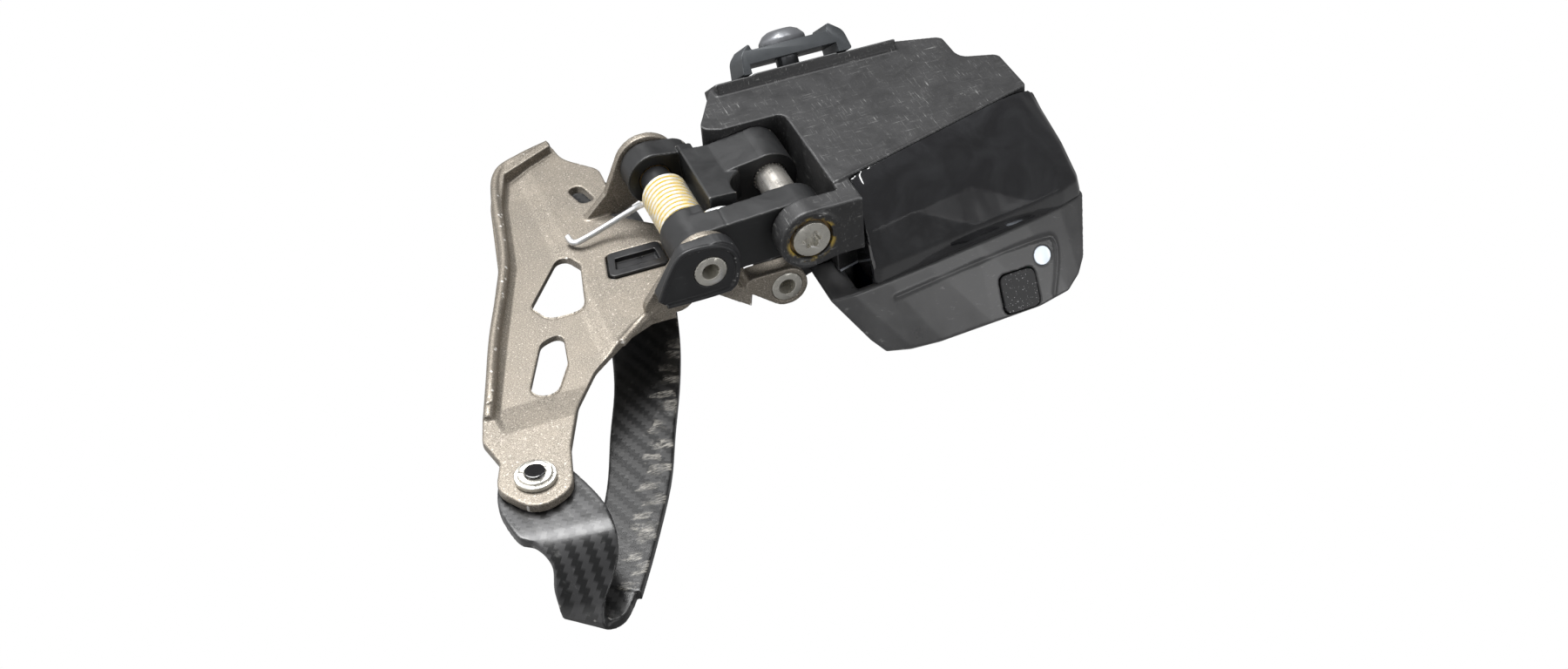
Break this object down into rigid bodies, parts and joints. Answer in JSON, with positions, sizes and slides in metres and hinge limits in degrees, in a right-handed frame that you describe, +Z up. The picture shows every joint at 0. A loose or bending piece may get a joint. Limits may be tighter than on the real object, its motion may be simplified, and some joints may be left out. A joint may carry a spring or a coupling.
{
  "type": "front derailleur",
  "caption": "Wireless electronic front derailleur: powered housing with a sealed gear train, parallelogram links, return spring and a two-plate chain cage.",
  "frame": {"origin": "centre of the mounting pad, on the axis of the frame bolt", "axes": "+X forward along the bicycle, +Y inboard to the frame, +Z up; the pad is turned 38 degrees forward about Z"},
  "size_m": [0.1346, 0.0491, 0.141],
  "materials": {
    "casing_black": "matte, scuffed",
    "gloss_black": "gloss",
    "dark_grey_shell": "satin",
    "gasket_grey": "matte",
    "screw_steel": "satin",
    "black_steel": "black oxide",
    "washer_black": "satin",
    "insert_steel": "machined",
    "shaft_steel": "machined",
    "bright_steel": "satin",
    "bronze": "satin",
    "gear_steel": "machined",
    "pinion_brass": "machined",
    "motor_can": "satin",
    "gearbox_plastic": "matte",
    "cell_wrap": "matte",
    "board_green": "satin",
    "switch_metal": "satin",
    "button_rubber": "speckled matte",
    "seal_rubber": "matte",
    "led_white": "gloss",
    "lens_clear": "milky gloss",
    "forged_black": "matte, forged",
    "blasted_alloy": "bead blasted",
    "black_polymer": "matte",
    "spring_zinc": "zinc plated, greased",
    "carbon": "satin woven carbon",
    "post_black": "gloss",
    "magnet": "plated"
  },
  "bodies": {
    "housing": {"main_casing": "casing_black", "rear_cover": "gloss_black", "lower_cover": "dark_grey_shell", "casing_gasket": "gasket_grey", "cover_screws": "screw_steel", "frame_bolt": "black_steel", "radius_washer": "washer_black", "mount_insert": "insert_steel", "shaft_bearings": "bronze", "gear_axles": "screw_steel", "drive_motor": "motor_can", "gearbox_plate": "gearbox_plastic", "battery_cell": "cell_wrap", "circuit_board": "board_green", "tact_switch": "switch_metal", "button_seal": "seal_rubber", "status_led": "led_white", "led_lens": "lens_clear", "pin_c_bushes": "black_polymer"},
    "upper_link": {"upper_link": "forged_black", "drive_shaft": "shaft_steel", "drive_screw": "bright_steel", "output_sector": "gear_steel", "position_magnet": "magnet", "link_bushes": "bronze", "spring_sleeve": "black_polymer", "torsion_spring": "spring_zinc"},
    "lower_link": {"lower_link": "blasted_alloy", "pivot_pin_c": "bright_steel", "pivot_pin_d": "shaft_steel"},
    "cage": {"inner_cage_plate": "blasted_alloy", "outer_cage_plate": "carbon", "cage_bridge": "black_polymer", "bridge_screws": "screw_steel", "tail_rivet": "shaft_steel", "tail_rivet_post": "post_black", "pivot_cap": "black_polymer", "pivot_pin_a": "bright_steel"},
    "gear_2": {"gear_2": "gear_steel"},
    "gear_1": {"gear_1": "gear_steel"},
    "motor_pinion": {"motor_pinion": "pinion_brass"},
    "mode_button": {"mode_button": "button_rubber"}
  },
  "joints": [
    {"name": "drive_swing", "type": "hinge", "parent": "housing", "child": "upper_link", "pos_m": [-0.02873, -0.00616, -0.0156], "axis": [1, 0, 0], "range_deg": [-15, 15]},
    {"name": "cage_swing", "type": "hinge", "parent": "upper_link", "child": "cage", "pos_m": [-0.02873, -0.00711, -0.037], "axis": [1, 0, 0], "range_deg": [-15.5, 15.5], "deforming": ["torsion_spring"]},
    {"name": "lower_link_swing", "type": "hinge", "parent": "housing", "child": "lower_link", "pos_m": [-0.02873, -0.02181, -0.0192], "axis": [1, 0, 0], "range_deg": [-15.5, 15.5]},
    {"name": "gear_2_turn", "type": "hinge", "parent": "housing", "child": "gear_2", "pos_m": [-0.01073, -0.01183, 0], "axis": [1, 0, 0], "range_deg": [-85, 85]},
    {"name": "gear_1_turn", "type": "hinge", "parent": "housing", "child": "gear_1", "pos_m": [-0.01273, -0.01614, 0.01184], "axis": [1, 0, 0], "range_deg": [-340, 340]},
    {"name": "motor_turn", "type": "hinge", "parent": "housing", "child": "motor_pinion", "pos_m": [-0.01473, -0.0179, 0.02432], "axis": [1, 0, 0], "range_deg": [-1350, 1350]},
    {"name": "mode_press", "type": "slide", "parent": "housing", "child": "mode_button", "axis": [0.8759, -0.4712, -0.1038], "range_m": [0, 0.0005], "stiffness_N_per_m": 400}
  ],
  "couplings": [
    {"joint": "cage_swing", "follows": "drive_swing", "ratio": -1},
    {"joint": "lower_link_swing", "follows": "drive_swing", "ratio": 1},
    {"joint": "gear_2_turn", "follows": "drive_swing", "ratio": -5.6},
    {"joint": "gear_1_turn", "follows": "drive_swing", "ratio": 22.4},
    {"joint": "motor_turn", "follows": "drive_swing", "ratio": -89.6}
  ]
}
